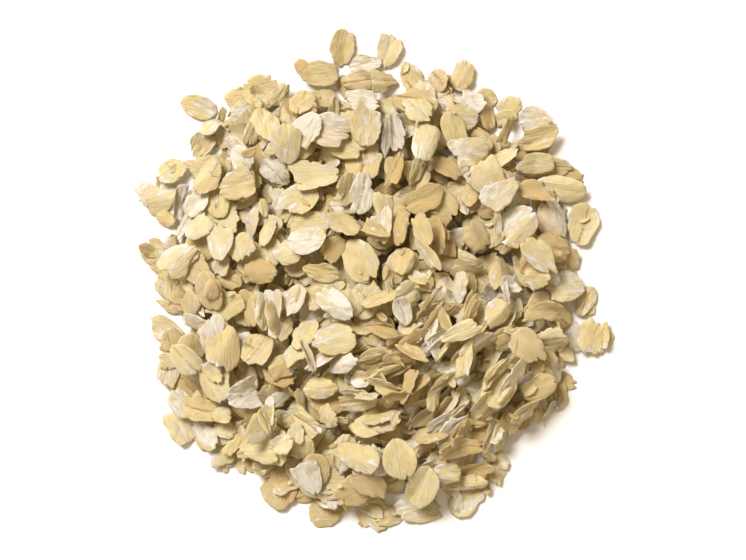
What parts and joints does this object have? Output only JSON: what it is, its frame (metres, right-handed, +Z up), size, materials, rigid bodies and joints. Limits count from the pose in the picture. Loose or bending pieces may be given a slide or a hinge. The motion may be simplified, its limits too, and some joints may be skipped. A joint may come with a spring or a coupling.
{
  "type": "heap of rolled oats",
  "caption": "Loose heap of rolled oats as poured on a flat surface, in separate flakes and clumps of flakes.",
  "frame": {"origin": "on the surface the heap lies on, under the middle of its box", "axes": "+Z up out of the heap; +X and +Y along the surface it lies on, +Y towards the part of the rim where two flakes stick out side by side"},
  "size_m": [0.1133, 0.1191, 0.0201],
  "materials": {
    "oat_cream": "dry, matte, floury, with a fine lengthwise grain",
    "oat_tan": "dry, matte, toasted tan with pale patches"
  },
  "bodies": {
    "root": {"crown_clump_e": "oat_tan", "crown_clump_nw": "oat_tan", "crown_clump_s": "oat_tan", "crown_clump_se": "oat_tan", "crown_clump_w": "oat_tan", "crown_flake_ne_1": "oat_cream", "crown_flake_ne_2": "oat_cream", "crown_flake_se": "oat_cream", "crown_flake_sw_1": "oat_cream", "crown_flake_sw_2": "oat_cream", "rim_clump_n_1": "oat_tan", "rim_clump_n_2": "oat_tan", "rim_clump_n_3": "oat_tan", "rim_clump_ne_1": "oat_tan", "rim_clump_ne_2": "oat_tan", "rim_clump_nw_1": "oat_tan", "rim_clump_nw_2": "oat_tan", "rim_clump_w": "oat_tan", "rim_flake_e_1": "oat_cream", "rim_flake_e_2": "oat_cream", "rim_flake_n_1": "oat_cream", "rim_flake_n_2": "oat_cream", "rim_flake_nw": "oat_cream", "rim_flake_s": "oat_cream", "rim_flake_sw": "oat_cream", "shoulder_clump_e_1": "oat_tan", "shoulder_clump_e_2": "oat_tan", "shoulder_clump_n": "oat_tan", "shoulder_clump_ne_1": "oat_tan", "shoulder_clump_ne_2": "oat_tan", "shoulder_clump_nw": "oat_tan", "shoulder_clump_s": "oat_tan", "shoulder_clump_se": "oat_tan", "shoulder_clump_sw": "oat_tan", "shoulder_clump_w_1": "oat_tan", "shoulder_clump_w_2": "oat_tan", "shoulder_flake_se_1": "oat_cream", "shoulder_flake_se_2": "oat_cream", "shoulder_flake_w": "oat_cream", "skirt_clump_e_1": "oat_tan", "skirt_clump_e_2": "oat_tan", "skirt_clump_e_3": "oat_tan", "skirt_clump_n_1": "oat_tan", "skirt_clump_n_2": "oat_tan", "skirt_clump_ne_1": "oat_tan", "skirt_clump_ne_2": "oat_tan", "skirt_clump_nw_1": "oat_tan", "skirt_clump_nw_2": "oat_tan", "skirt_clump_s_1": "oat_tan", "skirt_clump_s_2": "oat_tan", "skirt_clump_se_1": "oat_tan", "skirt_clump_se_2": "oat_tan", "skirt_clump_se_3": "oat_tan", "skirt_clump_sw_1": "oat_tan", "skirt_clump_sw_2": "oat_tan", "skirt_clump_sw_3": "oat_tan", "skirt_clump_sw_4": "oat_tan", "skirt_clump_w_1": "oat_tan", "skirt_clump_w_2": "oat_tan", "skirt_clump_w_3": "oat_tan"}
  },
  "joints": []
}
